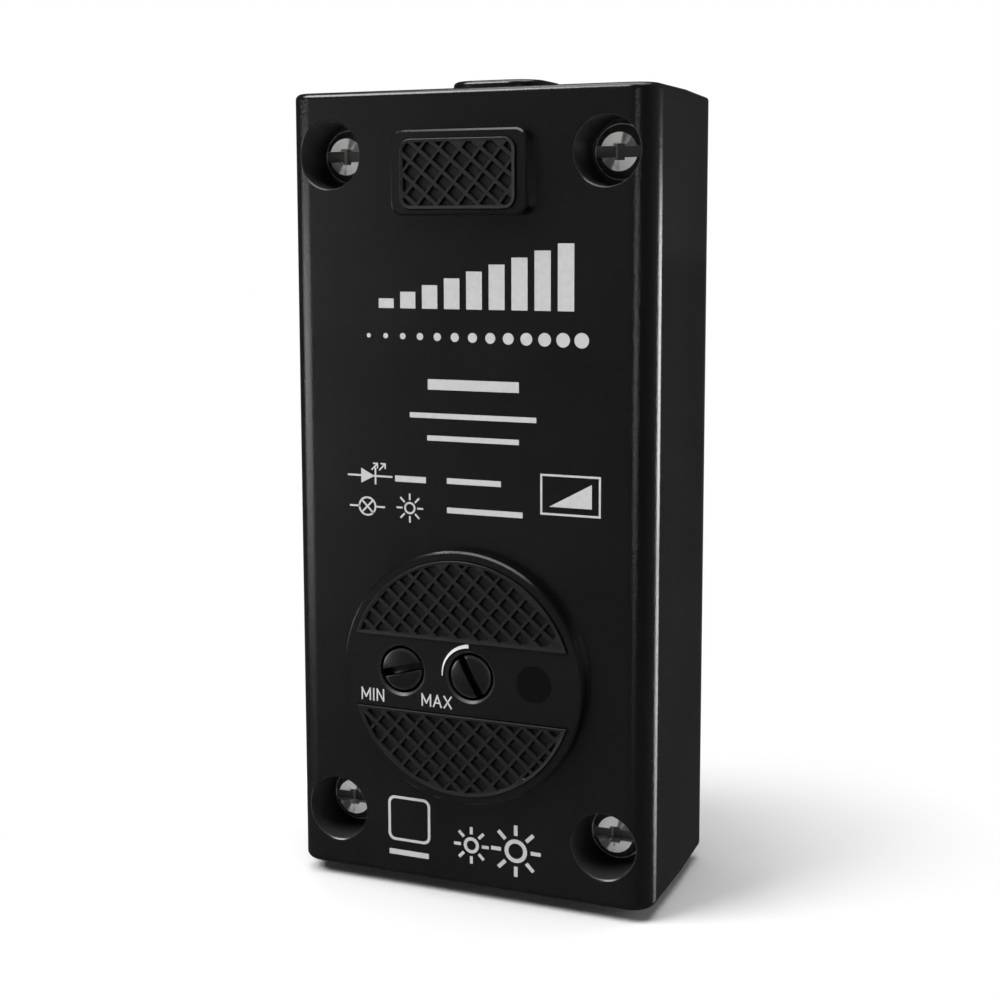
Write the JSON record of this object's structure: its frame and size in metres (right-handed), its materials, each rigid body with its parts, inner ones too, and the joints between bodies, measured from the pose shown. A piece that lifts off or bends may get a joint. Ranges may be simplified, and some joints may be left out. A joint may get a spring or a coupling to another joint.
{
  "type": "inline cord dimmer",
  "caption": "Flat box-shaped dimmer fitted into a lamp cord, with a fluted rotary knob on one side, and rubber feet and slotted trimmers on its underside.",
  "frame": {"origin": "centre of the lower cord entry's mouth, which is also the face that the part stands on", "axes": "+Z along the cord from the lower entry to the upper one, +Y from the underside with the feet to the side with the knob, +X to the right as the underside is looked at"},
  "size_m": [0.0406, 0.0292, 0.0866],
  "materials": {
    "housing_plastic": "black moulded plastic with a fine grain",
    "knob_plastic": "black moulded plastic, satin",
    "pad_rubber": "black rubber with a diamond grip",
    "bushing_rubber": "black flexible plastic",
    "trimmer_plastic": "black glossy plastic",
    "screw_steel": "bright nickel-plated steel",
    "zinc_steel": "zinc-plated steel",
    "brass": "bright brass",
    "aluminium": "plain aluminium",
    "board_laminate": "green solder mask",
    "part_plastic": "black moulded epoxy",
    "blue_plastic": "blue terminal plastic",
    "yellow_plastic": "yellow moulded box",
    "ferrite": "grey ferrite",
    "copper_wire": "enamelled copper wire"
  },
  "bodies": {
    "housing": {"base_shell": "housing_plastic", "cover_shell": "housing_plastic", "housing_screws": "screw_steel", "foot_pad_end": "pad_rubber", "foot_pad_upper": "pad_rubber", "foot_pad_lower": "pad_rubber", "cord_bushing_upper": "bushing_rubber", "cord_bushing_lower": "bushing_rubber", "cord_clamp_upper": "housing_plastic", "cord_clamp_lower": "housing_plastic", "clamp_screws": "zinc_steel", "circuit_board": "board_laminate", "board_screws": "zinc_steel", "pot_case": "zinc_steel", "pot_track": "part_plastic", "pot_washer": "zinc_steel", "pot_nut": "zinc_steel", "terminal_block_upper": "blue_plastic", "terminal_block_lower": "blue_plastic", "terminal_cages": "brass", "terminal_screws": "zinc_steel", "heat_sink": "aluminium", "power_transistors": "part_plastic", "transistor_screws": "zinc_steel", "film_capacitor": "yellow_plastic", "electrolytic_capacitor": "part_plastic", "choke_core": "ferrite", "choke_winding": "copper_wire", "fuse": "part_plastic", "control_chip": "part_plastic", "chip_resistors": "part_plastic", "trimmer_case_min": "part_plastic", "trimmer_case_max": "part_plastic"},
    "knob": {"control_knob": "knob_plastic", "pot_shaft": "part_plastic", "pot_wiper": "brass"},
    "min_trimmer": {"trimmer_rotor_min": "trimmer_plastic"},
    "max_trimmer": {"trimmer_rotor_max": "trimmer_plastic"}
  },
  "joints": [
    {"name": "knob_turn", "type": "hinge", "parent": "housing", "child": "knob", "pos_m": [0, 0.0074, 0.02435], "axis": [0, 1, 0], "range_deg": [-150, 150]},
    {"name": "min_trimmer_turn", "type": "hinge", "parent": "housing", "child": "min_trimmer", "pos_m": [-0.0068, -0.01, 0.02465], "axis": [0, 1, 0], "range_deg": [-75, 135]},
    {"name": "max_trimmer_turn", "type": "hinge", "parent": "housing", "child": "max_trimmer", "pos_m": [0.00113, -0.01, 0.02465], "axis": [0, 1, 0], "range_deg": [-150, 60]}
  ]
}
